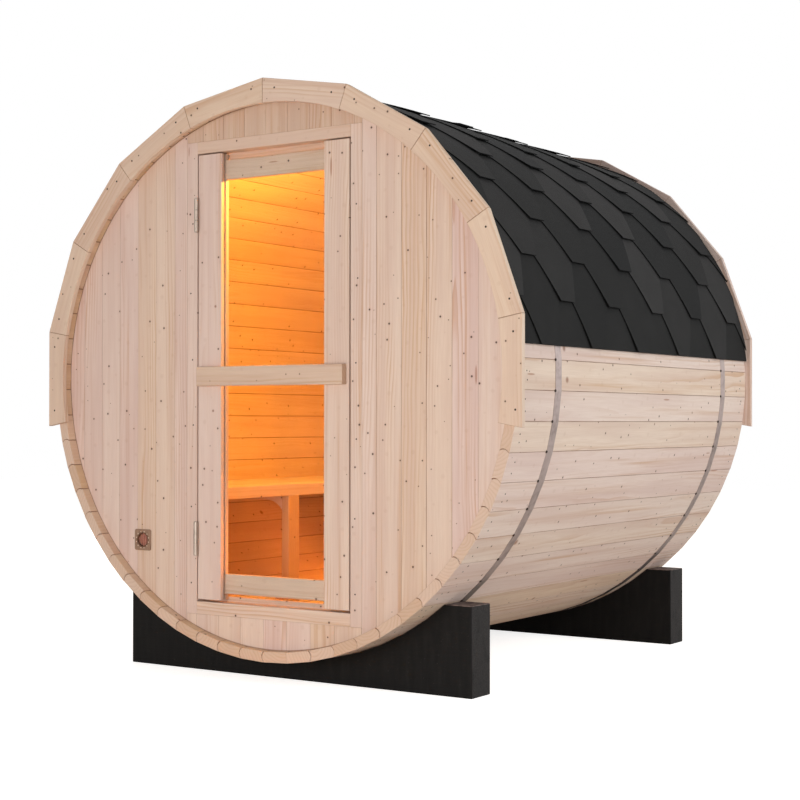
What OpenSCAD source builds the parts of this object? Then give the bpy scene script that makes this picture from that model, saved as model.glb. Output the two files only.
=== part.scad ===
// Barrel sauna on two cradles, with a shingle roof, mitred end fascias, a bench and a hinged glass door.
// The ground is z = 0, the door faces -Y, and the barrel's axis runs along Y above the origin.

/* [Barrel] */
// Distance from the barrel's axis to the outer face of a stave
barrel_r = 900; // [880:5:940]
// Length over both fascias
overall_l = 1790; // [1600:10:2400]
// Clear height under the barrel
ground_gap = 70; // [50:5:120]
// Number of staves, an even number
stave_count = 62; // [58:2:66]
// Thickness of a stave
stave_t = 34; // [30:1:40]
// Height of the round bead along a stave's upper edge
bead_h = 6; // [4:0.5:8]
// Flat shoulder on each side of the bead
bead_shoulder = 3; // [2:0.5:5]
// Angle of the butt joint between the first two staves, near the bottom
butt_angle = -84.7; // [-88:0.1:-82]
// Gap in each joint between staves and between fascia boards
joint_gap = 0.4; // [0.3:0.1:0.6]

/* [Fascia] */
// Thickness of a fascia board
fascia_t = 18; // [14:1:24]
// How far a fascia board's straight edge stands out past the staves
fascia_rise = 20; // [14:1:30]
// How far the round inner edge reaches in past the staves' inner face
fascia_lap = 11; // [6:1:16]
// Boards in each arch
fascia_boards = 10; // [10:2:12]
// Angle that one board covers
fascia_angle = 20; // [18:0.5:20]

/* [Roof] */
// Thickness of the shingle cover
roof_t = 6; // [5:0.5:9]
// Angle of the lower edge of the shingles above level
roof_edge_angle = 5; // [3:0.5:9]

/* [Hoops and cradles] */
// Width of a hoop
hoop_w = 38; // [30:1:44]
// Thickness of a hoop
hoop_t = 1.2; // [0.8:0.1:2]
// Distance from the front of the fascia to the middle of the front hoop
front_hoop_y = 262; // [240:1:280]
// Distance from the back of the fascia to the middle of the back hoop
back_hoop_y = 241; // [230:1:280]
// How far a cradle's ends rise above the bottom of the barrel
cradle_rise = 206; // [180:2:230]
// Level top of a cradle's end, beside the barrel
cradle_flat = 97; // [60:1:120]
// Thickness of a cradle along the barrel
cradle_t = 111; // [90:1:120]
// Distance from the front of the fascia to the front cradle
front_cradle_y = 152; // [145:1:160]
// Distance from the back of the fascia to the back cradle
back_cradle_y = 60; // [55:1:100]

/* [End walls] */
// Depth of the walls' outer faces behind the fascias' outer faces
wall_recess = 50; // [45:1:60]
// Thickness of the wall boards
wall_t = 34; // [28:1:40]

/* [Door frame] */
// Width of the doorway between the posts
door_w = 604; // [580:2:640]
// Height of the sill's top above the inside of the barrel's bottom
sill_rise = 136; // [126:1:160]
// Height of the inside of the barrel's top above the doorway
head_room = 139; // [130:1:160]
// Width of a door post
post_w = 42; // [36:1:50]
// Height of the head
head_h = 38; // [30:1:42]
// Height of the sill
sill_h = 41; // [34:1:46]
// How far the stops on the posts lap the doorway
stop_lap = 18; // [14:1:19]
// How far the stop on the head laps the doorway
head_stop = 23; // [18:1:26]
// Height of the stop on the sill
sill_stop = 17; // [12:1:20]
// Thickness of the stop
stop_t = 12; // [10:1:16]

/* [Door] */
// Clearance round the door and in front of the stop
door_gap = 5; // [5:0.5:6]
// Clearance under the door
door_foot_gap = 8; // [6:0.5:10]
// Width of a stile
stile_w = 94; // [84:1:104]
// Thickness of a stile, outside and inside the glass
stile_t = 16; // [14:1:18]
// Thickness of the glass
glass_t = 8; // [6:1:8]
// Width of the lip that closes the glass's edge
glass_lip = 10; // [8:1:12]
// Height of the top and bottom rails
rail_h = 64; // [56:1:70]
// Distance from the door's end to a rail
rail_inset = 20; // [16:1:24]
// Distance from the door's side to the end of the crossbar
crossbar_inset = 10; // [8:1:30]
// Height of the crossbar
crossbar_h = 63; // [54:1:70]
// Thickness of the crossbar
crossbar_t = 24; // [20:1:28]

/* [Hinges] */
// Distance from the door's end to the middle of a hinge
hinge_inset = 196; // [120:2:260]
// Height of a hinge
hinge_l = 108; // [96:2:120]
// Radius of the knuckle
knuckle_r = 7.5; // [7:0.5:8.5]
// Radius of the pin
pin_r = 3.5; // [3:0.25:4]
// Thickness of a hinge leaf
leaf_t = 2; // [1.5:0.1:2]
// Reach of a hinge leaf into the joint
leaf_reach = 30; // [24:1:36]

/* [Vent] */
// Side of the square vent plate
vent_plate = 70; // [66:1:80]
// Radius of the vent hole
vent_r = 21; // [18:1:28]
// Thickness of the vent plate
vent_t = 4; // [3:0.5:6]
// Distance from the staves to the middle of the vent
vent_inset = 108; // [70:1:130]
// Angle of the vent below level, on the left
vent_angle = 45.4; // [40:0.1:50]

/* [Bench] */
// Height of the bench top above the inside of the barrel's bottom
bench_rise = 499; // [440:1:540]
// Distance from the side of the doorway to the bench's front
bench_clear = 18; // [5:1:40]
// Thickness of the front rail and of the bench posts
bench_rail_t = 30; // [28:1:36]
// Height of the front rail
bench_rail_h = 40; // [36:1:50]
// Thickness of a slat
slat_t = 28; // [22:1:32]
// Gap between slats
slat_gap = 10; // [6:1:14]
// Number of slats behind the front rail
slat_count = 4; // [3:1:4]
// Width of a bench post along the barrel
bench_post_w = 62; // [54:1:80]
// Distance of each bench post from the middle of the barrel
bench_post_y = 285; // [260:5:420]
// Height of a bearer under the slats
bearer_h = 30; // [26:1:40]
// Radius of the hollow bracket between a bearer and its post
bracket_r = 76; // [60:1:90]

/* [Hidden] */
$fn = 96;

// Clearance between the round of the barrel and what is seated on it
seat_gap = 0.1;
// Running clearance of the hinge pins
pin_gap = 0.05;
// Clearance between the knuckles of a hinge and around them
knuckle_gap = 1;
// Clearance at the edges of the glass
glass_gap = 0.5;
// Clearance at the ends of the bench
bench_gap = 1;
// Depth to which a bead runs into its own stave
bead_root = 1;
// Groups of staves on each side
stave_groups = 4;

side_staves = stave_count / 2;
stave_angle = 360 / stave_count;
stave_in_r = barrel_r - stave_t;
stave_mid_r = barrel_r - stave_t / 2;
stave_l = overall_l - 2 * fascia_t;
bead_half = stave_t / 2 - bead_shoulder;
bead_r = (bead_half * bead_half + bead_h * bead_h) / (2 * bead_h);

axis_h = ground_gap + barrel_r;
inside_z = ground_gap + stave_t;
front_y = -overall_l / 2;
back_y = overall_l / 2;
wall_y = front_y + wall_recess;
wood = "tan";

vent_at = at(stave_in_r - vent_inset, 180 + vent_angle);

cradle_h = ground_gap + cradle_rise;
cradle_drop = barrel_r - cradle_rise;
cradle_w = 2 * (sqrt(barrel_r * barrel_r - cradle_drop * cradle_drop) + cradle_flat);

sill_z = inside_z + sill_rise;
door_h = 2 * stave_in_r - sill_rise - head_room;
leaf_w = door_w - 2 * door_gap;
leaf_h = door_h - door_gap - door_foot_gap;
leaf_z = sill_z + door_foot_gap;
leaf_x = -leaf_w / 2;
leaf_depth = 2 * stile_t + glass_t;
frame_depth = leaf_depth + door_gap + stop_t;
frame_x = door_w / 2 + post_w;
frame_foot_z = sill_z - sill_h;
frame_top_z = sill_z + door_h + head_h;
door_mid_z = leaf_z + leaf_h / 2;
crossbar_l = leaf_w - 2 * crossbar_inset;
hinge_offset = leaf_h / 2 - hinge_inset;
hinge_x = -door_w / 2 + door_gap / 2;
hinge_y = wall_y - knuckle_r - knuckle_gap;
knuckle_l = hinge_l / 3;

bench_z = inside_z + bench_rise;
bench_x = door_w / 2 + bench_clear;
bench_start_y = wall_y + frame_depth + bench_gap;
bench_end_y = back_y - wall_recess - wall_t - bench_gap;
bench_l = bench_end_y - bench_start_y;
slat_front_x = bench_x + bench_rail_t + slat_gap;
slat_drop = axis_h - bench_z + slat_t;
slat_back_x = sqrt(stave_in_r * stave_in_r - slat_drop * slat_drop) - slat_gap;
slat_w = (slat_back_x - slat_front_x - (slat_count - 1) * slat_gap) / slat_count;

function at(r, a) = [r * cos(a), r * sin(a)];

// Corners of the many-sided outline whose flat sides lie at this distance from the barrel's axis
function facets(apothem) =
    [for (k = [0:stave_count - 1]) at(apothem / cos(stave_angle / 2), butt_angle + k * stave_angle)];

// Half the width at a distance r of a wedge of this angle, less half a joint
function half_w(r, angle) = r * tan(angle / 2) - joint_gap / (2 * cos(angle / 2));

// Stands a profile drawn across the barrel at y and runs it back by l
module along_barrel(y, l) {
    translate([0, y + l, axis_h]) rotate([90, 0, 0]) linear_extrude(l) children();
}

// Barrel

module bead_circle(side, spare) {
    rotate(side * stave_angle / 2) translate([stave_mid_r, bead_h - bead_r]) circle(bead_r + spare);
}

// One stave across the barrel, pointing along +X, with its upper edge towards +Y
module stave_section(lower_cove, upper_cove) {
    difference() {
        union() {
            polygon([
                [stave_in_r, -half_w(stave_in_r, stave_angle)], [barrel_r, -half_w(barrel_r, stave_angle)],
                [barrel_r, half_w(barrel_r, stave_angle)], [stave_in_r, half_w(stave_in_r, stave_angle)]
            ]);
            if (!upper_cove) intersection() {
                bead_circle(1, -joint_gap / 2);
                rotate(stave_angle / 2) translate([stave_in_r, -bead_root]) square([stave_t, bead_h + bead_root]);
            }
        }
        if (lower_cove) bead_circle(-1, joint_gap / 2);
        if (upper_cove) mirror([0, 1]) bead_circle(-1, joint_gap / 2);
    }
}

// A stave counted up from the butt joint, on the right (side 1) or on the left (side -1).
// The last one on the left is the key, with a cove on both edges.
module stave(i, side) {
    is_key = side < 0 && i == side_staves - 1;
    along_barrel(front_y + fascia_t, stave_l)
        rotate(butt_angle + side * (i + 0.5) * stave_angle)
        mirror([0, side < 0 ? 1 : 0])
        stave_section(i > 0, is_key);
}

module stave_group(group, side) {
    first = floor(group * side_staves / stave_groups);
    last = floor((group + 1) * side_staves / stave_groups) - 1;
    color(wood) for (i = [first:last]) stave(i, side);
}

module right_staves_bottom() { stave_group(0, 1); }
module right_staves_low() { stave_group(1, 1); }
module right_staves_high() { stave_group(2, 1); }
module right_staves_top() { stave_group(3, 1); }
module left_staves_bottom() { stave_group(0, -1); }
module left_staves_low() { stave_group(1, -1); }
module left_staves_high() { stave_group(2, -1); }
module left_staves_top() { stave_group(3, -1); }

// Fascias

module fascia_board() {
    outer = barrel_r + fascia_rise;
    inner = stave_in_r - fascia_lap;
    root = inner / 2;
    difference() {
        polygon([
            [root, -half_w(root, fascia_angle)], [outer, -half_w(outer, fascia_angle)],
            [outer, half_w(outer, fascia_angle)], [root, half_w(root, fascia_angle)]
        ]);
        circle(inner);
    }
}

// Half an arch, from the crown down to the right (side 1) or to the left (side -1)
module half_fascia(y, side) {
    color(wood) along_barrel(y, fascia_t)
        for (k = [0:fascia_boards / 2 - 1]) rotate(90 - side * (k + 0.5) * fascia_angle) fascia_board();
}

module front_fascia_right() { half_fascia(front_y, 1); }
module front_fascia_left() { half_fascia(front_y, -1); }
module back_fascia_right() { half_fascia(back_y - fascia_t, 1); }
module back_fascia_left() { half_fascia(back_y - fascia_t, -1); }

// Hoops

module hoop_ring(inner_gap, outer_gap) {
    difference() {
        polygon(facets(barrel_r + seat_gap + hoop_t + outer_gap));
        polygon(facets(barrel_r + inner_gap));
    }
}

module hoop(y) {
    color("silver") along_barrel(y - hoop_w / 2, hoop_w) hoop_ring(seat_gap, 0);
}

// The room that a hoop takes from what covers or carries it
module hoop_channel(y) {
    along_barrel(y - hoop_w / 2 - seat_gap, hoop_w + 2 * seat_gap) hoop_ring(-stave_t, seat_gap);
}

module hoop_channels() {
    hoop_channel(front_y + front_hoop_y);
    hoop_channel(back_y - back_hoop_y);
}

module front_hoop() { hoop(front_y + front_hoop_y); }
module back_hoop() { hoop(back_y - back_hoop_y); }

// Roof

module half_roof(side) {
    far = 2 * barrel_r;
    color("dimgray") difference() {
        along_barrel(front_y + fascia_t, stave_l) intersection() {
            difference() {
                polygon(facets(barrel_r + seat_gap + roof_t));
                polygon(facets(barrel_r + seat_gap));
            }
            polygon([
                [side * joint_gap / 2, 0], [side * far * cos(roof_edge_angle), far * sin(roof_edge_angle)],
                [side * far, far], [side * joint_gap / 2, far]
            ]);
        }
        hoop_channels();
    }
}

module roof_right() { half_roof(1); }
module roof_left() { half_roof(-1); }

// Cradles

module cradle(y) {
    color([0.13, 0.12, 0.12]) difference() {
        along_barrel(y, cradle_t) difference() {
            translate([-cradle_w / 2, -axis_h]) square([cradle_w, cradle_h]);
            polygon(facets(barrel_r + seat_gap));
        }
        hoop_channels();
    }
}

module front_cradle() { cradle(front_y + front_cradle_y); }
module back_cradle() { cradle(back_y - back_cradle_y - cradle_t); }

// End walls

module wall_outline() { polygon(facets(stave_in_r - seat_gap)); }

module front_wall() {
    color(wood) along_barrel(wall_y, wall_t) intersection() {
        wall_outline();
        children();
    }
}

module beside_door(side) {
    translate([side > 0 ? frame_x : -frame_x - barrel_r, -barrel_r]) square([barrel_r, 2 * barrel_r]);
}

module vent_bore() {
    translate(vent_at) circle(vent_r);
}

module front_wall_left() {
    front_wall() difference() {
        beside_door(-1);
        vent_bore();
    }
}

module front_wall_right() { front_wall() beside_door(1); }

module front_wall_over_door() {
    front_wall() translate([-frame_x, frame_top_z - axis_h]) square([2 * frame_x, barrel_r]);
}

module front_wall_under_door() {
    front_wall() translate([-frame_x, frame_foot_z - axis_h - barrel_r]) square([2 * frame_x, barrel_r]);
}

module back_wall() {
    color(wood) along_barrel(back_y - wall_recess - wall_t, wall_t) wall_outline();
}

module rounded_square(side, corner_r) {
    inside = side - 2 * corner_r;
    square([side, inside], center = true);
    square([inside, side], center = true);
    for (x = [-1, 1], y = [-1, 1]) translate([x * inside / 2, y * inside / 2]) circle(corner_r);
}

module vent_plate_front() {
    color("peru") along_barrel(wall_y - vent_t, vent_t) difference() {
        translate(vent_at) rounded_square(vent_plate, vent_plate / 10);
        vent_bore();
    }
}

// Door frame

module door_post(side) {
    color(wood) translate([0, wall_y, frame_foot_z]) mirror([side < 0 ? 1 : 0, 0, 0])
        linear_extrude(frame_top_z - frame_foot_z) {
            translate([door_w / 2, 0]) square([post_w, frame_depth]);
            translate([door_w / 2 - stop_lap, frame_depth - stop_t]) square([stop_lap + post_w, stop_t]);
        }
}

module door_post_left() { door_post(-1); }
module door_post_right() { door_post(1); }

// A bar between the posts, with its stop between the posts' stops
module frame_bar(z, h, stop_z, stop_h) {
    stop_w = door_w - 2 * stop_lap;
    color(wood) {
        translate([-door_w / 2, wall_y, z]) cube([door_w, frame_depth - stop_t, h]);
        translate([-stop_w / 2, wall_y + frame_depth - stop_t, stop_z]) cube([stop_w, stop_t, stop_h]);
    }
}

module door_head() { frame_bar(sill_z + door_h, head_h, sill_z + door_h - head_stop, head_h + head_stop); }
module door_sill() { frame_bar(frame_foot_z, sill_h, frame_foot_z, sill_h + sill_stop); }

// Door

module outer_stile(side) {
    color(wood) translate([0, wall_y, leaf_z]) mirror([side > 0 ? 1 : 0, 0, 0]) linear_extrude(leaf_h)
        translate([leaf_x, 0]) {
            square([stile_w, stile_t]);
            square([glass_lip, stile_t + glass_t]);
        }
}

module inner_stile(side) {
    color(wood) mirror([side > 0 ? 1 : 0, 0, 0])
        translate([leaf_x, wall_y + stile_t + glass_t, leaf_z]) cube([stile_w, stile_t, leaf_h]);
}

module hinge_stile() { outer_stile(-1); }
module latch_stile() { outer_stile(1); }
module hinge_stile_inner() { inner_stile(-1); }
module latch_stile_inner() { inner_stile(1); }

module door_rail(z) {
    rail_l = leaf_w - 2 * stile_w;
    color(wood) translate([-rail_l / 2, wall_y + stile_t + glass_t, z]) cube([rail_l, stile_t, rail_h]);
}

module door_top_rail() { door_rail(leaf_z + leaf_h - rail_inset - rail_h); }
module door_bottom_rail() { door_rail(leaf_z + rail_inset); }

module door_glass() {
    glass_w = leaf_w - 2 * (glass_lip + glass_gap);
    color("lightblue", 0.4) translate([-glass_w / 2, wall_y + stile_t, leaf_z]) cube([glass_w, glass_t, leaf_h]);
}

module door_crossbar() {
    color(wood) translate([-crossbar_l / 2, wall_y - crossbar_t, door_mid_z - crossbar_h / 2])
        cube([crossbar_l, crossbar_t, crossbar_h]);
}

// Hinges

module at_hinges() {
    for (side = [-1, 1]) translate([hinge_x, hinge_y, door_mid_z + side * hinge_offset - hinge_l / 2]) children();
}

// A third of the hinge's height, counted from below, shortened by the gap at each end
module knuckle_third(third, r, gap) {
    translate([0, 0, third * knuckle_l + gap]) cylinder(r = r, h = knuckle_l - 2 * gap);
}

// A flat leaf on one side of the joint, with the knuckles that belong to it
module hinge_leaf(side, own, other) {
    reach = leaf_reach + knuckle_r + knuckle_gap;
    difference() {
        union() {
            translate([side > 0 ? door_gap / 2 - leaf_t : -door_gap / 2, 0, 0]) cube([leaf_t, reach, hinge_l]);
            for (third = own) knuckle_third(third, knuckle_r, 0);
        }
        for (third = other) knuckle_third(third, knuckle_r + knuckle_gap, -knuckle_gap / 2);
        translate([0, 0, -knuckle_gap]) cylinder(r = pin_r + pin_gap, h = hinge_l + 2 * knuckle_gap);
    }
}

module hinge_frame_leaves() { color("silver") at_hinges() hinge_leaf(-1, [0, 2], [1]); }
module hinge_door_leaves() { color("silver") at_hinges() hinge_leaf(1, [1], [0, 2]); }

module hinge_pins() {
    head_h = pin_r / 2;
    head_r = (pin_r + knuckle_r) / 2;
    color("silver") at_hinges() {
        cylinder(r = pin_r, h = hinge_l);
        translate([0, 0, -head_h]) cylinder(r = head_r, h = head_h);
        translate([0, 0, hinge_l]) cylinder(r = head_r, h = head_h);
    }
}

// Bench

module bench_front_rail() {
    color(wood) translate([-bench_x - bench_rail_t, bench_start_y, bench_z - bench_rail_h])
        cube([bench_rail_t, bench_l, bench_rail_h]);
}

module bench_slats() {
    color(wood) for (i = [0:slat_count - 1])
        translate([-slat_front_x - i * (slat_w + slat_gap) - slat_w, bench_start_y, bench_z - slat_t])
            cube([slat_w, bench_l, slat_t]);
}

// Bars that stand across the barrel at both posts, cut to the round of the staves
module at_bench_posts(w) {
    for (side = [-1, 1]) along_barrel(side * bench_post_y - w / 2, w) intersection() {
        polygon(facets(stave_in_r - seat_gap));
        children();
    }
}

// Each bearer is one piece with the hollow bracket that stays it to its post
module bench_bearers() {
    bearer_w = bench_post_w / 2;
    bearer_l = barrel_r - bench_x - bench_rail_t;
    color(wood) at_bench_posts(bearer_w) translate([-barrel_r, bench_z - slat_t - bearer_h - axis_h]) {
        square([bearer_l, bearer_h]);
        translate([bearer_l - bracket_r, -bracket_r]) difference() {
            square(bracket_r);
            circle(bracket_r);
        }
    }
}

module bench_posts() {
    color(wood) at_bench_posts(bench_post_w)
        translate([-bench_x - bench_rail_t, -barrel_r])
        square([bench_rail_t, barrel_r + bench_z - bench_rail_h - axis_h]);
}

right_staves_bottom();
right_staves_low();
right_staves_high();
right_staves_top();
left_staves_bottom();
left_staves_low();
left_staves_high();
left_staves_top();
front_fascia_right();
front_fascia_left();
back_fascia_right();
back_fascia_left();
roof_right();
roof_left();
front_hoop();
back_hoop();
front_cradle();
back_cradle();
front_wall_left();
front_wall_right();
front_wall_over_door();
front_wall_under_door();
back_wall();
door_post_left();
door_post_right();
door_head();
door_sill();
hinge_stile();
latch_stile();
hinge_stile_inner();
latch_stile_inner();
door_top_rail();
door_bottom_rail();
door_glass();
door_crossbar();
hinge_frame_leaves();
hinge_door_leaves();
hinge_pins();
vent_plate_front();
bench_front_rail();
bench_slats();
bench_bearers();
bench_posts();
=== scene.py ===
"""The looks of a barrel sauna: timber, shingles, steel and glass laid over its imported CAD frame.

Sizes are metres in the frame's own axes: the door faces -Y, and the barrel's axis runs along Y.
"""

import math
import random

import bmesh
import bpy
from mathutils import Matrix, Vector


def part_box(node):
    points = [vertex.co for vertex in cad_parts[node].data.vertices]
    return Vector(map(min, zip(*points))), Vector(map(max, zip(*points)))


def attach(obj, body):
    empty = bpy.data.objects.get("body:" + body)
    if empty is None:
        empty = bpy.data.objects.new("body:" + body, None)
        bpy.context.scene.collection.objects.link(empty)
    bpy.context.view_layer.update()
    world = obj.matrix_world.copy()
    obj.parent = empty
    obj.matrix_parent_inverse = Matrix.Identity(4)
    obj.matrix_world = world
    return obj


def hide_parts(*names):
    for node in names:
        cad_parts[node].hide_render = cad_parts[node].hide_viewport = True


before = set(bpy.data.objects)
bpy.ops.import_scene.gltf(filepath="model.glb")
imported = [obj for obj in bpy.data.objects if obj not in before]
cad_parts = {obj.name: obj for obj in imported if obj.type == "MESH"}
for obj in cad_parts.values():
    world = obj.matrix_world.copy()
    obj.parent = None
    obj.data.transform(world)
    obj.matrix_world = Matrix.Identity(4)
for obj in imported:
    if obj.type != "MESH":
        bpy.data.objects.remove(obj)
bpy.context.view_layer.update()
rng = random.Random(11)

X, Y, Z = Vector((1, 0, 0)), Vector((0, 1, 0)), Vector((0, 0, 1))

# The barrel, as the part's source has it
AXIS_Z = 0.97
BARREL_R = 0.9
STAVE_T = 0.034
STAVES = 62
STAVE_STEP = math.tau / STAVES
BUTT_ANGLE = math.radians(-84.7)
ROOF_EDGE = math.radians(5)
FASCIA_BOARDS = 10
FASCIA_ANGLE = math.radians(20)

# Stave ends below the fascia are not quite in line. They begin this share of the radius under the axis.
BARE_ENDS = 0.25
END_STAGGER = 0.003

# Rounding of sawn and planed edges
WELD = 1e-5
FLAT = math.radians(0.2)
SHARP = math.radians(25)
ARRIS = 0.0012
STAVE_ARRIS = 0.0013
BOARD_ARRIS = 0.0018
STEEL_ARRIS = 0.0004
VENT_ARRIS = 0.001
PAINT_ARRIS = 0.003

# How much dirt a rounded edge holds: in the open, at a joint, and at a joint inside the barrel
OPEN_EDGE, JOINT_EDGE, INNER_JOINT = 0.12, 1.0, 2.2

# How near a joint an edge belongs to it, as a share of the step between joints
NEAR_STAVE_JOINT, NEAR_MITRE = 0.1, 0.03

# How near a stave's outer and inner face an edge lies that is eased
OUTER_EASE, INNER_EASE = 0.001, 0.003

# A face looks along a direction, or partly along it, when the cosine between them is over this
LOOKS_ALONG, LOOKS_PARTLY = 0.9, 0.3

# Where in its log a board is cut: along the grain, across it and out from the pith
LOG_PLACES = ((0, 40), (-0.1, 0.1), (0.02, 0.09))

# Boards of the end walls: the place of one seam, and the width of a board
LEFT_SEAM, LEFT_BOARD = -0.799, 0.0804
RIGHT_SEAM, RIGHT_BOARD = 0.397, 0.0883
OVER_SEAM, OVER_BOARD = -0.194, 0.085
UNDER_SEAM, UNDER_BOARD = -0.212, 0.091
BACK_SEAM, BACK_BOARD = -0.82, 0.088
MOST_BOARDS = 20
NARROWEST_BOARD = 0.012

# Seams differ in how far they are rounded, and hold more dirt the wider they are
SEAM_ROUNDING = (0.3, 0.8)
SEAM_DIRT = 1.25

# Shingles: six-sided tabs, each course half a tab along from the one below
SHINGLE_T = 0.0033
ROOF_R = BARREL_R + 0.0015
ROOF_INSET = 0.001
TAB_PITCH = 0.331
TAB_GAP = 0.001
TAB_FLAT = 0.090
TAB_SLANT = 0.075
TAB_FLARE = 0.45
TAB_START = -0.714
TAB_SWING = 0.004
TAB_COLUMNS = 7
EXPOSURE = math.radians(8.65)
COURSES = 10
COURSE_REACH = 2.1
COURSE_RISE = SHINGLE_T * 1.04
SHINGLE_STEPS = (0, 0.2, 0.4, 0.6, 0.8, 1, 1.1, 1.4, 1.75, COURSE_REACH)
STARTER_ROWS, STARTER_COLUMNS, STARTER_SHADE = 5, 24, 0.5
RIDGE_LAP = math.radians(91.6)

# Tabs curl up at the foot, and more so where the roof is nearly flat
FOOT_CURL = (0.0018, 0.0055)
TOP_CURL = 0.012
CURL_FROM = 0.8

# Caps over the ridge
CAP_PITCH = 0.165
CAP_LENGTH = 1.7 * CAP_PITCH
CAP_SHORTEST = 0.03
CAP_SPREAD = math.radians(8.5)
CAP_TAPER = 0.4
CAP_BED = 0.55
CAP_RISE = SHINGLE_T * 1.9
CAP_CURL = 0.008
CAP_LEAST_CURL = (0.0005, 0.001)
CAP_LEAN = 0.3
CAP_ROWS, CAP_COLUMNS = 7, 9

# A nail's head: rings as shares of its radius and height, and the height of its dished middle
NAIL_R = 0.0034
NAIL_H = 0.0003
NAIL_SIDES = 12
NAIL_RINGS = ((1.0, -0.5), (0.92, 0.9), (0.6, 0.95))
NAIL_DISH = 0.3

# Nails in the fascias, the staves and the door posts, and how far they stray
FASCIA_NAIL_ANGLE = math.radians(7.3)
FASCIA_NAIL_R = (0.988, 0.998)
FASCIA_NAIL_STRAY = (0.93, 1.0)
STAVE_NAIL_R = NAIL_R * 0.75
STAVE_NAIL_ACROSS, STAVE_NAIL_STRAY, STAVE_NAIL_STRAY_Y = 0.014, 0.006, 0.008
STAVE_NAIL_EAVE = 0.03
POST_NAIL_R = NAIL_R * 0.8
POST_NAIL_EDGE, POST_NAIL_FOOT, POST_NAIL_HEAD = 0.02, 0.1, 0.02
POST_NAIL_STEP, POST_NAIL_STRAY_Z, POST_NAIL_STRAY_X = 0.24, 0.03, 0.006

# Pins at the hoops: from a low sine of the angle round the barrel to just under the eave
PIN_R, PIN_H = 0.0044, 0.0016
PIN_FORWARD = 0.0015
PIN_LOWEST, PIN_EAVE = -0.93, 0.02
HOOP_FACE = BARREL_R + 0.0013

# The vent: a ring round its bore, studs outside the ring and bars across the hole
VENT_BORE = 0.021
VENT_LOBES = 12
RIM_PROFILE = ((0.0, 0.006), (0.0005, 0.0), (0.002, -0.0012), (0.0038, -0.0012), (0.005, 0.0),
               (0.0045, 0.002))
RIM_INSET, RIM_WIDTH, RIM_SCALLOP, RIM_SIDES = 0.0005, 0.005, 0.0011, 96
STUD_R, STUD_H, STUD_OUT = 0.0019, 0.0013, 0.0064
BAR_PITCH, BAR_HALF, BAR_DEPTH, BAR_SIDES, BARS_A_SIDE = 0.0083, 0.0031, 0.008, 6, 2
BAR_SEAT = 0.0003

# Rings of the timber: their pitch, how far they wander, and how they lean along a board
RING_PITCH, RING_WANDER, RING_LEAN = 0.011, 0.045, 0.012

# Boards run from pink to yellow and on to brown, and their sawn ends from pale to tan. A piece draws its boards
# from most of that range or from a part of it.
BOARD_TINTS = [(0.0, (0.98, 0.935, 0.96, 1)), (0.4, (1, 0.99, 0.98, 1)), (0.8, (0.98, 0.93, 0.82, 1)),
               (1.0, (0.85, 0.78, 0.69, 1))]
END_TINTS = [(0.0, (0.97, 0.97, 0.99, 1)), (0.4, (0.96, 0.94, 0.94, 1)), (0.8, (0.87, 0.8, 0.75, 1))]
ALL_BOARDS, PINK_BOARDS, TAN_BOARDS = (0.0, 0.8), (0.0, 0.3), (0.64, 0.84)
WARM_BOARDS, BROWN_BOARDS = (0.55, 0.92), (0.92, 1.0)

# Heat has turned the inside of the staves. On the bench posts the same warm tint is painted warm light,
# standing in for the cabin lamp.
HEAT_TINT_AND_WARM_LIGHT = (1.0, 0.93, 0.77, 1)

# The photograph's camera
CAMERA_AT = (3.136, -5.014, 0.8265)
CAMERA_TURN = (90.662, -0.061, 34.541)
CAMERA_SENSOR, CAMERA_LENS = 36, 74.35
CAMERA_SHIFT = (0.074, 0.0024)

# The floor, the light of the world and the red light of the low lamps
FLOOR_HALF = 14
FLOOR_COLOUR, FLOOR_GLOW = (0.845, 0.785, 0.71, 1), 0.78
WORLD_LIGHT = 0.34
WHITE = (1, 1, 1, 1)
EMBER = (1.0, 0.3, 0.05)


def srgb(r, g, b):
    """A colour given as it looks on a screen, 0 to 255, in the linear values that shaders take."""
    def linear(v):
        v /= 255
        return v / 12.92 if v <= 0.04045 else ((v + 0.055) / 1.055) ** 2.4
    return (linear(r), linear(g), linear(b), 1.0)


# Colours in the timber
FIBRE, BLUSH = srgb(176, 138, 112), srgb(206, 177, 165)
KNOT_HALO, PIN_KNOT, BRANCH_KNOT = srgb(176, 130, 100), srgb(76, 52, 42), srgb(138, 88, 66)
PITCH_POCKET = srgb(160, 104, 76)
SAWN, SAWN_RING = srgb(216, 187, 164), srgb(178, 136, 106)
# Dirt held in rounded edges at joints, and the colour of the painted shade where an end wall meets the staves
GRIME_AND_SHADE = srgb(136, 94, 68)

# Colours of felt, paint, glass and iron, from dark to light
FELT_TONES = [(0.15, srgb(11, 10, 10)), (0.55, srgb(23, 21, 20)), (0.95, srgb(46, 43, 42))]
# Cut edges of the felt: black bitumen, darkened further as painted shade along the tabs' edges
CUT_FELT_AND_SHADE = srgb(4, 4, 4)
PAINT_TONES = [(0.3, srgb(12, 11, 10)), (0.55, srgb(21, 19, 18)), (0.8, srgb(33, 31, 29))]
PAINT_END, PAINT_STAIN = srgb(58, 53, 52), srgb(22, 20, 19)
PAINT_SPECK, PAINT_WORN = srgb(70, 64, 60), srgb(150, 128, 120)
GLASS_TONES = [(0.3, srgb(74, 78, 48)), (0.7, srgb(92, 94, 62))]
IRON_TONES = [(0.3, srgb(38, 28, 24)), (0.7, srgb(78, 60, 50))]
LOW_BROWN = srgb(52, 44, 40)


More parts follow.
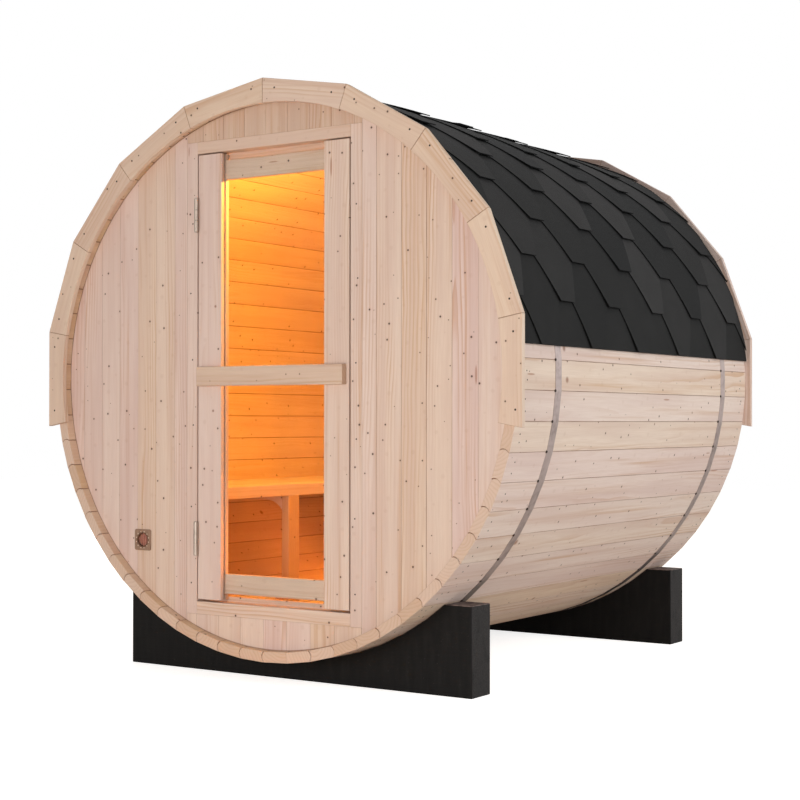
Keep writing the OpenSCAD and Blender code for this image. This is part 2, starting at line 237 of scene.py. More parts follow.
class Shader:
    """A material with one Principled surface, whose node tree is written one call at a time."""

    def __init__(self, name, **surface):
        self.material = bpy.data.materials.new(name)
        self.material.use_nodes = True
        self.tree = self.material.node_tree
        self.surface = self.tree.nodes["Principled BSDF"]
        for socket, value in surface.items():
            self.surface.inputs[socket.replace("_", " ")].default_value = value

    def set(self, socket, value):
        if isinstance(value, bpy.types.NodeSocket):
            self.tree.links.new(value, socket)
        else:
            socket.default_value = value

    def add(self, kind, inputs, **settings):
        node = self.tree.nodes.new("ShaderNode" + kind)
        for key, value in settings.items():
            setattr(node, key, value)
        for key, value in inputs.items():
            self.set(node.inputs[key], value)
        return node

    def attribute(self, name, output="Fac"):
        return self.add("Attribute", {}, attribute_name=name).outputs[output]

    def place(self, output="Object"):
        return self.add("TexCoord", {}).outputs[output]

    def split(self, vector):
        node = self.add("SeparateXYZ", {"Vector": vector})
        return [node.outputs[axis] for axis in "XYZ"]

    def length(self, vector):
        return self.add("VectorMath", {0: vector}, operation="LENGTH").outputs["Value"]

    def math(self, operation, a, b=0.0):
        return self.add("Math", {0: a, 1: b}, operation=operation).outputs[0]

    def times(self, a, b):
        return self.math("MULTIPLY", a, b)

    def plus(self, a, b):
        return self.math("ADD", a, b)

    def step(self, value, low, high, to_low=0.0, to_high=1.0):
        """A soft step from to_low, where value is low, to to_high, where it is high."""
        inputs = {"Value": value, "From Min": low, "From Max": high, "To Min": to_low, "To Max": to_high}
        return self.add("MapRange", inputs, interpolation_type="SMOOTHSTEP").outputs["Result"]

    def stretch(self, vector, scale):
        return self.add("VectorMath", {0: vector, 1: scale}, operation="MULTIPLY").outputs[0]

    def noise(self, vector, scale=1.0, detail=2.0, roughness=0.5):
        inputs = {"Vector": vector, "Scale": scale, "Detail": detail, "Roughness": roughness}
        return self.add("TexNoise", inputs).outputs["Fac"]

    def mix(self, factor, a, b, blend="MIX"):
        node = self.add("Mix", {"Factor": factor}, data_type="RGBA", blend_type=blend)
        self.set(node.inputs[6], a)
        self.set(node.inputs[7], b)
        return node.outputs[2]

    def ramp(self, factor, stops):
        node = self.add("ValToRGB", {"Fac": factor})
        for _ in stops[2:]:
            node.color_ramp.elements.new(0.5)
        for element, (position, colour) in zip(node.color_ramp.elements, stops):
            element.position, element.color = position, colour
        return node.outputs["Color"]

    def bump(self, height, distance, strength):
        inputs = {"Height": height, "Distance": distance, "Strength": strength}
        self.finish("Normal", self.add("Bump", inputs).outputs["Normal"])

    def finish(self, socket, value):
        self.tree.links.new(value, self.surface.inputs[socket])


def knots(s, along, across, cell, share, small, large):
    """Spots of small to large radius in a share of the cells: (mask, distance from a spot in its radii)."""
    place = s.add("CombineXYZ", {"X": along, "Y": across}).outputs[0]
    cells = s.add("TexVoronoi", {"Vector": place, "Scale": 1 / cell}, voronoi_dimensions="2D")
    chance = s.add("SeparateColor", {"Color": cells.outputs["Color"]})
    radius = s.step(chance.outputs["Green"], 0, 1, small / cell, large / cell)
    reach = s.math("DIVIDE", cells.outputs["Distance"], radius)
    spot = s.step(reach, 0.65, 1.25, to_low=1.0, to_high=0.0)
    there = s.math("LESS_THAN", chance.outputs["Red"], share)
    return s.times(spot, there), reach


def growth(s, grain):
    """Growth rings cut by the board's faces: (late wood of each ring, visible figure, fine fibre)."""
    along, across, depth = s.split(grain)
    wander = s.times(s.noise(s.stretch(grain, (1.6, 9, 9)), detail=3), RING_WANDER)
    from_pith = s.add("CombineXYZ", {"X": across, "Y": depth}).outputs[0]
    radius = s.plus(s.plus(s.length(from_pith), wander), s.times(along, RING_LEAN))
    ring = s.math("FRACT", s.times(radius, 1 / RING_PITCH))
    late = s.times(s.step(ring, 0.3, 0.9), s.step(ring, 0.92, 1.0, to_low=1.0, to_high=0.0))
    patch = s.step(s.noise(s.stretch(grain, (0.9, 11, 11))), 0.44, 0.72)
    streak = s.step(s.noise(s.stretch(grain, (0.8, 42, 42)), detail=3, roughness=0.6), 0.5, 0.78)
    fibre = s.noise(s.stretch(grain, (14, 620, 620)))
    figure = s.times(late, s.plus(s.times(patch, 0.75), 0.05))
    return late, s.math("MAXIMUM", figure, s.times(streak, 0.75)), fibre


def painted_contact_shade(s):
    """Painted shade: a fine dark line on an end wall where it meets the staves."""
    from_axis = s.add("VectorMath", {0: s.place(), 1: (0, 0, AXIS_Z)}, operation="SUBTRACT").outputs[0]
    radius = s.length(s.stretch(from_axis, (1, 0, 1)))
    inner_r = BARREL_R - STAVE_T
    near = s.step(radius, inner_r - 0.0045, inner_r - 0.0015, to_high=0.7)
    return s.times(near, s.attribute("wall"))


def knotty(s, colour, grain):
    """Knots laid over the timber's colour: (colour, mask of the small dark ones)."""
    along, across, _ = s.split(grain)
    pins, pin_reach = knots(s, along, across, cell=0.062, share=0.45, small=0.0014, large=0.0036)
    branches, branch_reach = knots(s, along, across, cell=0.33, share=0.25, small=0.005, large=0.011)
    pockets, _ = knots(s, s.times(along, 0.13), across, cell=0.10, share=0.16, small=0.0018, large=0.0042)
    colour = s.mix(s.step(pin_reach, 1.0, 3.0, to_low=0.12, to_high=0.0), colour, KNOT_HALO)
    branch_depth = s.step(branch_reach, 0.3, 0.9, to_low=0.75, to_high=0.4)
    colour = s.mix(s.times(branches, branch_depth), colour, BRANCH_KNOT)
    colour = s.mix(s.times(pockets, 0.6), colour, PITCH_POCKET)
    return s.mix(s.times(pins, 0.9), colour, PIN_KNOT), pins


def spruce(name, pale, line):
    """Planed spruce. Each board's grain attribute runs along, across and into its own timber."""
    s = Shader(name, Specular_IOR_Level=0.25)
    grain, board, inside = s.attribute("grain", "Vector"), s.attribute("board"), s.attribute("inside")

    late, figure, fibre = growth(s, grain)
    figure = s.times(figure, s.step(inside, 0, 1, to_low=1.0, to_high=0.45))
    colour = s.mix(figure, pale, line)
    colour = s.mix(s.step(fibre, 0.3, 0.7, to_high=0.12), colour, FIBRE)
    blush = s.step(s.noise(s.stretch(grain, (1.4, 18, 18))), 0.35, 0.7)
    colour = s.mix(s.times(blush, 0.55), colour, BLUSH)
    colour = s.mix(1.0, colour, s.ramp(board, BOARD_TINTS), "MULTIPLY")
    # Warm tint on inside faces: heat-turned wood on the staves, painted lamp light on the bench posts
    colour = s.mix(inside, colour, HEAT_TINT_AND_WARM_LIGHT, "MULTIPLY")
    colour, pins = knotty(s, colour, grain)

    sawn = s.mix(s.times(late, 0.2), SAWN, SAWN_RING)
    sawn = s.mix(1.0, sawn, s.ramp(board, END_TINTS), "MULTIPLY")
    colour = s.mix(s.times(s.attribute("end_grain"), 0.85), colour, sawn)
    grime = s.step(s.noise(s.stretch(grain, (5, 1, 1)), detail=3), 0.3, 0.65, to_low=0.2, to_high=0.6)
    colour = s.mix(s.times(s.attribute("edge"), grime), colour, GRIME_AND_SHADE)
    # Painted shade along the line where an end wall meets the staves
    s.finish("Base Color", s.mix(painted_contact_shade(s), colour, GRIME_AND_SHADE))

    polish = s.plus(fibre, s.times(figure, -0.2))
    s.finish("Roughness", s.step(polish, 0.2, 0.8, to_low=0.52, to_high=0.72))
    height = s.math("SUBTRACT", s.times(fibre, 0.5), s.times(figure, 0.5))
    s.bump(s.math("SUBTRACT", height, pins), distance=0.0004, strength=0.5)
    return s.material


def bitumen():
    """Mineral granules pressed into black felt, a little different from tab to tab."""
    s = Shader("bitumen_shingle", Specular_IOR_Level=0.2)
    place = s.place()
    granule = s.noise(place, scale=900, roughness=0.7)
    cloud = s.noise(place, scale=9, detail=3)
    tone = s.plus(s.times(s.attribute("tab"), 0.66), s.times(cloud, 0.2))
    tone = s.plus(tone, s.times(granule, 0.28))
    # Cut edges take the black of the bitumen, darkened further as painted shade
    s.finish("Base Color", s.mix(s.attribute("cut_edge"), s.ramp(tone, FELT_TONES), CUT_FELT_AND_SHADE))
    s.finish("Roughness", s.step(granule, 0.3, 0.7, to_low=0.78, to_high=0.96))
    s.bump(granule, distance=0.0007, strength=0.6)
    return s.material


def galvanised(name, tone, scale, low_darkening):
    """Rolled steel with a faint spangle and fine lines from rolling, darker and browner towards the bottom by
    some share.
    """
    s = Shader(name, Metallic=1.0)
    place = s.place()
    spangle = s.noise(place, scale=60 * scale)
    lines = s.noise(s.stretch(place, (8, 900, 8)), scale=scale)
    stain = s.noise(place, scale=6 * scale)
    tone_at = s.plus(s.times(spangle, 0.35), s.times(lines, 0.25))
    tone_at = s.plus(tone_at, s.times(stain, 0.4))
    dark = tuple(v * 0.55 for v in tone[:3]) + (1,)
    light = tuple(min(1, v * 1.2) for v in tone[:3]) + (1,)
    colour = s.ramp(tone_at, [(0.3, dark), (0.5, tone), (0.75, light)])
    height = s.split(place)[2]
    darker_below = s.step(s.plus(height, s.times(stain, 0.2)), 0.3, 0.55, to_low=low_darkening, to_high=0.0)
    s.finish("Base Color", s.mix(darker_below, colour, LOW_BROWN))
    s.finish("Roughness", s.step(tone_at, 0.3, 0.7, to_low=0.42, to_high=0.6))
    s.bump(lines, distance=0.0001, strength=0.5)
    return s.material


def black_paint():
    """Black stain on sawn timber, thinner on its ends and rubbed pale where it looks up."""
    s = Shader("black_paint", Specular_IOR_Level=0.14)
    grain, end = s.attribute("grain", "Vector"), s.attribute("end_grain")
    saw = s.noise(s.stretch(grain, (60, 9, 60)), detail=3)
    fibre = s.noise(s.stretch(grain, (9, 240, 240)), detail=3)
    colour = s.ramp(s.plus(s.times(saw, 0.5), s.times(fibre, 0.5)), PAINT_TONES)
    stain = s.step(s.noise(s.stretch(grain, (30, 14, 30)), detail=4), 0.55, 0.68)
    colour = s.mix(s.times(end, 0.5), colour, PAINT_END)
    colour = s.mix(s.times(s.times(end, stain), 0.5), colour, PAINT_STAIN)
    speck = s.step(s.noise(grain, scale=220), 0.68, 0.76)
    colour = s.mix(s.times(speck, 0.3), colour, PAINT_SPECK)
    upward = s.step(s.split(s.place("Normal"))[2], 0.3, 0.9)
    rubbed = s.step(saw, 0.35, 0.65, to_low=0.3, to_high=0.9)
    worn = s.times(s.math("MAXIMUM", s.attribute("edge"), 0.6), rubbed)
    s.finish("Base Color", s.mix(s.times(worn, upward), colour, PAINT_WORN))
    s.finish("Roughness", s.step(fibre, 0.3, 0.7, to_low=0.5, to_high=0.72))
    s.bump(s.plus(fibre, saw), distance=0.0007, strength=0.5)
    return s.material


def clear_glass():
    """Toughened glass with the grey-green cast of its thickness, and faint smears."""
    s = Shader("clear_glass", Roughness=0.04, IOR=1.5, Specular_IOR_Level=0.5)
    smear = s.noise(s.stretch(s.place(), (4, 4, 1.5)), scale=1.5, detail=4, roughness=0.6)
    s.finish("Base Color", s.ramp(smear, GLASS_TONES))
    s.finish("Alpha", s.step(smear, 0.3, 0.7, to_low=0.04, to_high=0.07))
    return s.material


def dark_iron():
    """Nail heads gone dull and brown."""
    s = Shader("dark_iron", Metallic=0.4)
    mottle = s.noise(s.place(), scale=700, detail=3)
    s.finish("Base Color", s.ramp(mottle, IRON_TONES))
    s.finish("Roughness", s.step(mottle, 0.3, 0.7, to_low=0.5, to_high=0.8))
    return s.material


def vent_finish(name, dark, light):
    """Stained hardwood of the vent, with a short grain."""
    s = Shader(name, Specular_IOR_Level=0.3)
    grain = s.noise(s.stretch(s.place(), (260, 60, 30)), detail=3)
    s.finish("Base Color", s.ramp(grain, [(0.3, dark), (0.7, light)]))
    s.finish("Roughness", s.step(grain, 0.3, 0.7, to_low=0.5, to_high=0.7))
    s.bump(grain, distance=0.0003, strength=0.5)
    return s.material


def solid(node):
    """A welded copy of a CAD node, with its flat faces whole again."""
    bm = bmesh.new()
    bm.from_mesh(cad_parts[node].data)
    bmesh.ops.remove_doubles(bm, verts=bm.verts, dist=WELD)
    bmesh.ops.dissolve_limit(bm, angle_limit=FLAT, verts=bm.verts, edges=bm.edges)
    for face in bm.faces:
        face.smooth = False
    return bm


def round_edges(bm, width, wanted=lambda edge: True, mark=lambda face: OPEN_EDGE):
    """Rounds the sharp edges that are wanted. The new faces carry how much dirt or wear their edge holds."""
    layer = bm.faces.layers.float.new("edge")
    sharp = [e for e in bm.edges if len(e.link_faces) == 2 and e.calc_face_angle() > SHARP and wanted(e)]
    made = bmesh.ops.bevel(bm, geom=sharp, offset=width, offset_type="OFFSET", segments=2, profile=0.5,
                           affect="EDGES", clamp_overlap=False)
    for face in made["faces"]:
        face[layer] = mark(face)
        face.smooth = True


def cut_off(bm, at, side):
    """Cuts away what lies past a point towards side, and returns the faces that close the cut."""
    cut = bmesh.ops.bisect_plane(bm, geom=bm.verts[:] + bm.edges[:] + bm.faces[:],
                                 plane_co=at, plane_no=side, clear_outer=True)["geom_cut"]
    edges = [e for e in cut if isinstance(e, bmesh.types.BMEdge)]
    return bmesh.ops.holes_fill(bm, edges=edges)["faces"]


def boards_of(bm):
    """The separate boards in a mesh, each as a list of vertices."""
    seen, boards = set(), []
    for first in bm.verts:
        if first in seen:
            continue
        seen.add(first)
        board, open_ends = [first], [first]
        while open_ends:
            for edge in open_ends.pop().link_edges:
                for vert in edge.verts:
                    if vert not in seen:
                        seen.add(vert)
                        board.append(vert)
                        open_ends.append(vert)
        boards.append(board)
    return boards


def outward(point):
    """The direction from the barrel's axis to a point."""
    return Vector((point.x, 0, point.z - AXIS_Z)).normalized()


def around(point):
    """The direction round the barrel at a point."""
    return outward(point).cross(Y)


def spread(count):
    """Evenly spaced values from -1 to 1."""
    return [2 * k / (count - 1) - 1 for k in range(count)]


def lay_grain(bm, along, across, tints=ALL_BOARDS):
    """Gives every board its own stretch of timber. along and across take the board's middle."""
    grain = bm.verts.layers.float_vector.new("grain")
    tint = bm.verts.layers.float.new("board")
    end = bm.faces.layers.float.new("end_grain")
    for board in boards_of(bm):
        middle = sum((v.co for v in board), Vector()) / len(board)
        a, c = along(middle), across(middle)
        d = a.cross(c)
        start = Vector([rng.uniform(*span) for span in LOG_PLACES])
        shade = rng.uniform(*tints)
        for vert in board:
            reach = vert.co - middle
            vert[grain] = start + Vector((reach.dot(a), reach.dot(c), reach.dot(d)))
            vert[tint] = shade
        for face in {f for v in board for f in v.link_faces}:
            face[end] = float(abs(face.normal.dot(a)) > LOOKS_ALONG)


def mark_faces(bm, name, value):
    """Gives each face a number that its material reads by name. value takes the face."""
    layer = bm.faces.layers.float.new(name)
    for face in bm.faces:
        face[layer] = value(face)


def piece(name, bm, material, body="sauna", replaces=()):
    """Turns a mesh into a named piece that rides on a body and stands for CAD nodes."""
    mesh = bpy.data.meshes.new(name)
    bm.normal_update()
    bm.to_mesh(mesh)
    bm.free()
    mesh.materials.append(material)
    obj = bpy.data.objects.new(name, mesh)
    bpy.context.scene.collection.objects.link(obj)
    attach(obj, body)
    if replaces:
        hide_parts(*replaces)


def timber(node, along, across, material, width=ARRIS, body="sauna", wear=OPEN_EDGE,
           tints=ALL_BOARDS, painted_warm_light=0.0):
    """A CAD node as planed timber, with rounded edges and its grain along one direction."""
    bm = solid(node)
    round_edges(bm, width, mark=lambda face: wear)
    lay_grain(bm, lambda middle: along, lambda middle: across, tints)
    mark_faces(bm, "inside", lambda face: painted_warm_light)
    piece(node + "_timber", bm, material, body, (node,))


def from_joint(point, first, step):
    """How far a point lies from the nearest joint round the barrel, as a share of the step between joints."""
    turns = (math.atan2(point.z - AXIS_Z, point.x) - first) / step
    return abs(turns - round(turns))


def stagger_ends(bm, low, high):
    """Moves the ends of the lower staves back, each by its own little."""
    for board in boards_of(bm):
        if max(v.co.z for v in board) < AXIS_Z - BARREL_R * BARE_ENDS:
            short = {low.y: rng.uniform(0, END_STAGGER), high.y: -rng.uniform(0, END_STAGGER)}
            for end, back in short.items():
                for vert in (v for v in board if abs(v.co.y - end) < WELD):
                    vert.co.y += back


def staves(node, material):
    """A group of staves. Edges on the two faces and at the ends are eased, the bead is left as cut."""
    low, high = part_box(node)

    def eased(edge):
        at_end = all(min(v.co.y - low.y, high.y - v.co.y) < END_STAGGER + WELD for v in edge.verts)
        depth = [BARREL_R - (v.co - Vector((0, v.co.y, AXIS_Z))).length for v in edge.verts]
        on_face = all(d < OUTER_EASE or d > STAVE_T - INNER_EASE for d in depth)
        return at_end or on_face

    def dirt(face):
        middle = face.calc_center_median()
        if from_joint(middle, BUTT_ANGLE, STAVE_STEP) > NEAR_STAVE_JOINT:
            return OPEN_EDGE
        outside = (middle - Z * AXIS_Z).dot(outward(middle)) > BARREL_R - STAVE_T / 2
        return JOINT_EDGE if outside else INNER_JOINT

    def looks_in(face):
        return float(face.normal.dot(outward(face.calc_center_median())) < -LOOKS_ALONG)

    bm = solid(node)
    stagger_ends(bm, low, high)
    round_edges(bm, STAVE_ARRIS, eased, dirt)
    lay_grain(bm, lambda middle: Y, around)
    mark_faces(bm, "inside", looks_in)
    piece(node + "_timber", bm, material, replaces=(node,))


def fascia(node, face, material, tints):
    """Half an arch of fascia boards. The face that looks along face is set back for the nail heads."""

    def dirt(rounded):
        reach = from_joint(rounded.calc_center_median(), FASCIA_ANGLE / 2, FASCIA_ANGLE)
        return JOINT_EDGE if reach < NEAR_MITRE else OPEN_EDGE

    bm = solid(node)
    front = max(v.co.dot(face) for v in bm.verts)
    for vert in bm.verts:
        if front - vert.co.dot(face) < WELD:
            vert.co -= face * NAIL_H
    round_edges(bm, ARRIS, mark=dirt)
    lay_grain(bm, around, outward, tints)
    piece(node + "_timber", bm, material, replaces=(node,))


def wall_boards(node, first, width, material, tints=ALL_BOARDS):
    """A wall panel sawn into upright boards, with a seam at first and every width from there."""
    low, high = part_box(node)
    seams = [first + k * width for k in range(-MOST_BOARDS, MOST_BOARDS + 1)]
    inner = [x for x in seams if low.x + NARROWEST_BOARD < x < high.x - NARROWEST_BOARD]
    seams = [low.x] + inner + [high.x]
    whole = bmesh.new()
    for left, right in zip(seams, seams[1:]):
        part = solid(node)
        for x, side in ((left, -X), (right, X)):
            cut_off(part, X * x, side)
        bmesh.ops.recalc_face_normals(part, faces=part.faces)
        seam = rng.uniform(*SEAM_ROUNDING)
        round_edges(part, BOARD_ARRIS * seam,
                    mark=lambda face: seam * SEAM_DIRT if abs(face.normal.x) > LOOKS_PARTLY else OPEN_EDGE)
        sawn = bpy.data.meshes.new("sawn")
        part.to_mesh(sawn)
        part.free()
        whole.from_mesh(sawn)
        bpy.data.meshes.remove(sawn)
    lay_grain(whole, lambda middle: Z, lambda middle: X, tints)
    mark_faces(whole, "wall", lambda face: 1.0)
    piece(node + "_boards", whole, material, replaces=(node,))


def on_roof(side, y, angle, r):
    """A point at an angle above the level of the axis, on the right for side 1 and on the left for -1."""
    return Vector((side * r * math.cos(angle), y, AXIS_Z + r * math.sin(angle)))


def slab(bm, rows, shade):
    """A bent sheet of felt: rows of points on its underside with the outward direction at each."""
    tab, cut = bm.verts.layers.float["tab"], bm.faces.layers.float["cut_edge"]
    sheets = []
    for lift in (0, SHINGLE_T):
        sheet = [[bm.verts.new(p + n * lift) for p, n in row] for row in rows]
        for vert in (v for row in sheet for v in row):
            vert[tab] = shade
        sheets.append(sheet)
    under, top = sheets
    last_row, last = len(rows) - 1, len(rows[0]) - 1
    for i in range(last_row):
        for j in range(last):
            for sheet in sheets:
                bm.faces.new([sheet[i][j], sheet[i][j + 1], sheet[i + 1][j + 1], sheet[i + 1][j]])
    rim = [(0, j) for j in range(last)] + [(i, last) for i in range(last_row)]
    rim += [(last_row, j) for j in range(last, 0, -1)] + [(i, 0) for i in range(last_row, 0, -1)]
    for (i, j), (k, m) in zip(rim, rim[1:] + rim[:1]):
        bm.faces.new([under[i][j], under[k][m], top[k][m], top[i][j]])[cut] = 1.0


def shingle_mesh():
    bm = bmesh.new()
    bm.verts.layers.float.new("tab")
    bm.faces.layers.float.new("cut_edge")
    return bm


def roof_span(node):
    """Where the shingles of a roof node begin and end along the barrel."""
    low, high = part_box(node)
    return low.y + ROOF_INSET, high.y - ROOF_INSET


def course_r(t):
    """How far out a course's underside lies at t exposures above its lower edge."""
    return ROOF_R + COURSE_RISE * (COURSE_REACH - t)


def sheet_row(side, low, t, ys, lift=0.0):
    """Points along a course at t exposures above its lower edge, each with the outward direction."""
    angle = low + t * EXPOSURE
    r, out = course_r(t) + lift, outward(on_roof(side, 0, angle, 1))
    return [(on_roof(side, y, angle, r), out) for y in ys]


def starter(bm, side, front, back):
    """The plain strip along the eave, under the first course."""
    ts = [1 + (COURSE_REACH - 1) * i / STARTER_ROWS for i in range(STARTER_ROWS + 1)]
    ys = [front + (back - front) * j / STARTER_COLUMNS for j in range(STARTER_COLUMNS + 1)]
    slab(bm, [sheet_row(side, ROOF_EDGE - EXPOSURE, t, ys) for t in ts], STARTER_SHADE)


def shingle_rows(side, low, middle):
    """Rows of one shingle: a tab that widens up from its flat foot, then the part under the next courses."""
    curl = rng.uniform(FOOT_CURL[0], FOOT_CURL[1] + TOP_CURL * max(0, math.sin(low) - CURL_FROM))
    swing = rng.uniform(-TAB_SWING, TAB_SWING)
    rows = []
    for t in SHINGLE_STEPS:
        if low + t * EXPOSURE > RIDGE_LAP:
            break
        wide = TAB_FLAT / 2 + TAB_SLANT * min(t, 1) + TAB_FLARE * max(t - 1, 0)
        half = min(wide, TAB_PITCH / 2 - TAB_GAP)
        free = max(1 - t, 0)
        ys = [middle + swing * free + half * across for across in spread(TAB_COLUMNS)]
        rows.append(sheet_row(side, low, t, ys, curl * free ** 2))
    return rows


def shingles(side, node, material):
    """One side of the roof: a starter strip at the eave, then courses of tabs up to the ridge."""
    front, back = roof_span(node)
    bm = shingle_mesh()
    for course in range(COURSES):
        foot = ROOF_EDGE + course * EXPOSURE
        middle = TAB_START + (course % 2) * TAB_PITCH / 2 - TAB_PITCH
        while middle < back + TAB_PITCH / 2:
            rows = shingle_rows(side, foot, middle)
            if middle + TAB_PITCH / 2 > front:
                slab(bm, rows, rng.random())
            middle += TAB_PITCH
    for y, past in ((front, -Y), (back, Y)):
        for face in cut_off(bm, Y * y, past):
            face[bm.faces.layers.float["cut_edge"]] = 1.0
    starter(bm, side, front, back)
    bmesh.ops.recalc_face_normals(bm, faces=bm.faces)
    piece(node + "_shingles", bm, material, replaces=(node,))


def cap_rows(start, end, curl, lean):
    """Rows of one ridge cap from its front end at start to its narrower back end, which curls up."""
    bed = course_r(CAP_BED) + SHINGLE_T
    rows = []
    for i in range(CAP_ROWS):
        share = i / (CAP_ROWS - 1)
        y = start + (end - start) * share
        lift = curl * share ** 4
        r = bed + CAP_RISE * share + lift
        half = CAP_SPREAD * (1 - CAP_TAPER * share ** 2)
        points = [on_roof(1, y, math.pi / 2 + half * across, r + lean * lift * across)
                  for across in spread(CAP_COLUMNS)]
        rows.append([(p, outward(p)) for p in points])
    return rows


def ridge_caps(material):
    """Pieces bent over the ridge, each lying on the one behind it. They curl more towards the front."""
    front, back = roof_span("roof_right")
    bm = shingle_mesh()
    end = back
    while end > front + CAP_SHORTEST:
        start = max(end - CAP_LENGTH, front)
        forward = (back - start) / (back - front)
        least, most = CAP_LEAST_CURL
        curl = rng.uniform(least, most + CAP_CURL * forward ** 4)
        lean = rng.uniform(-CAP_LEAN, CAP_LEAN)
        slab(bm, cap_rows(start, end, curl, lean), rng.random())
        end -= CAP_PITCH
    bmesh.ops.recalc_face_normals(bm, faces=bm.faces)
    piece("ridge_caps", bm, material)


def nail_head(bm, at, out, radius=NAIL_R, height=NAIL_H):
    """A low round head with a dished middle, set on a face that looks along out."""
    side = out.orthogonal().normalized()
    up = out.cross(side)
    rings = []
    for reach, rise in NAIL_RINGS:
        ring = []
        for k in range(NAIL_SIDES):
            turn = k * math.tau / NAIL_SIDES
            spoke = side * math.cos(turn) + up * math.sin(turn)
            ring.append(bm.verts.new(at + spoke * radius * reach + out * height * rise))
        rings.append(ring)
    for lower, upper in zip(rings, rings[1:]):
        for k in range(NAIL_SIDES):
            bm.faces.new([lower[k - 1], lower[k], upper[k], upper[k - 1]])
    middle = bm.verts.new(at + out * height * NAIL_DISH)
    for k in range(NAIL_SIDES):
        bm.faces.new([rings[-1][k - 1], rings[-1][k], middle])
    bm.faces.new(rings[0][::-1])


def stray(most):
    """A random shift of up to most either way."""
    return rng.uniform(-most, most)


def fascia_nails(name, node_pair, face, material):
    """Two nails in every fascia board, near its ends and towards its outer edge."""
    bm = bmesh.new()
    front = max(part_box(n)[k].dot(face) for n in node_pair for k in (0, 1)) - NAIL_H
    for k in range(FASCIA_BOARDS):
        middle = math.pi / 2 + (k + 0.5 - FASCIA_BOARDS / 2) * FASCIA_ANGLE
        for turn in (-FASCIA_NAIL_ANGLE, FASCIA_NAIL_ANGLE):
            r = BARREL_R * rng.uniform(*FASCIA_NAIL_R) / math.cos(turn)
            at = on_roof(1, 0, middle + turn * rng.uniform(*FASCIA_NAIL_STRAY), r)
            nail_head(bm, Vector((at.x, front * face.y, at.z)), face)
    piece(name, bm, material)


def stave_nails(material):
    """Two nails through each bare stave into the edge of the wall at either end."""
    bm = bmesh.new()
    walls = [sum(p.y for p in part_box(n)) / 2 for n in ("front_wall_right", "back_wall")]
    for k in range(STAVES):
        angle = BUTT_ANGLE + (k + 0.5) * STAVE_STEP
        if math.sin(angle) > math.sin(ROOF_EDGE) - STAVE_NAIL_EAVE:
            continue
        out = Vector((math.cos(angle), 0, math.sin(angle)))
        for y in walls:
            for across in (-STAVE_NAIL_ACROSS, STAVE_NAIL_ACROSS):
                at = Z * AXIS_Z + out * BARREL_R + out.cross(Y) * (across + stray(STAVE_NAIL_STRAY))
                nail_head(bm, at + Y * (y + stray(STAVE_NAIL_STRAY_Y)), out, STAVE_NAIL_R)
    piece("stave_nails", bm, material)


def hoop_pins(material):
    """A pin at the front edge of each hoop over every bare stave joint."""
    bm = bmesh.new()
    for node in ("front_hoop", "back_hoop"):
        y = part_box(node)[0].y
        for k in range(STAVES):
            angle = BUTT_ANGLE + k * STAVE_STEP
            if PIN_LOWEST < math.sin(angle) < math.sin(ROOF_EDGE) - PIN_EAVE:
                out = Vector((math.cos(angle), 0, math.sin(angle)))
                r = HOOP_FACE / math.cos(STAVE_STEP / 2)
                nail_head(bm, Z * AXIS_Z + out * r + Y * (y - PIN_FORWARD), out, PIN_R, PIN_H)
    piece("hoop_pins", bm, material)


def post_nails(material):
    """Nails down both door posts, near the outer edge."""
    bm = bmesh.new()
    for node in ("door_post_left", "door_post_right"):
        low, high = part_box(node)
        outer = max(abs(low.x), abs(high.x))
        x = math.copysign(outer - POST_NAIL_EDGE, low.x + high.x)
        z = low.z + POST_NAIL_FOOT
        while z < high.z - POST_NAIL_HEAD:
            nail_head(bm, Vector((x + stray(POST_NAIL_STRAY_X), low.y, z)), -Y, POST_NAIL_R)
            z += POST_NAIL_STEP + stray(POST_NAIL_STRAY_Z)
    piece("post_nails", bm, material)


def hinge_steelwork(node, material, body):
    bm = solid(node)
    round_edges(bm, STEEL_ARRIS)
    piece(node + "_steel", bm, material, body, (node,))


def vent_front():
    """The middle of the vent plate's front face."""
    low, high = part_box("vent_plate_front")
    middle = (low + high) / 2
    return Vector((middle.x, low.y, middle.z))


def vent_plate(material):
    bm = solid("vent_plate_front")
    round_edges(bm, VENT_ARRIS)
    piece("vent_plate_wood", bm, material, replaces=("vent_plate_front",))


def vent_rim(material):
    """A turned ring with a scalloped outer edge, round the vent's opening. Its dark brown is painted shade at
    the opening's edge.
    """
    middle, bm = vent_front(), bmesh.new()
    rings = []
    for k in range(RIM_SIDES):
        turn = k * math.tau / RIM_SIDES
        scallop = RIM_SCALLOP * math.cos(VENT_LOBES * turn)
        spoke = X * math.cos(turn) + Z * math.sin(turn)
        ring = []
        for reach, rise in RIM_PROFILE:
            r = VENT_BORE - RIM_INSET + reach + scallop * (reach / RIM_WIDTH)
            ring.append(bm.verts.new(middle + Y * rise + spoke * r))
        rings.append(ring)
    for a, b in zip(rings, rings[1:] + rings[:1]):
        for i in range(len(RIM_PROFILE)):
            bm.faces.new([a[i - 1], a[i], b[i], b[i - 1]]).smooth = True
    piece("vent_rim", bm, material)


def vent_studs(material):
    """Studs between the lobes of the rim, coloured pale as painted highlights."""
    middle, bm = vent_front(), bmesh.new()
    for k in range(VENT_LOBES):
        turn = (k + 0.5) * math.tau / VENT_LOBES
        spoke = X * math.cos(turn) + Z * math.sin(turn)
        nail_head(bm, middle + spoke * (VENT_BORE + STUD_OUT), -Y, STUD_R, STUD_H)
    piece("vent_studs", bm, material)


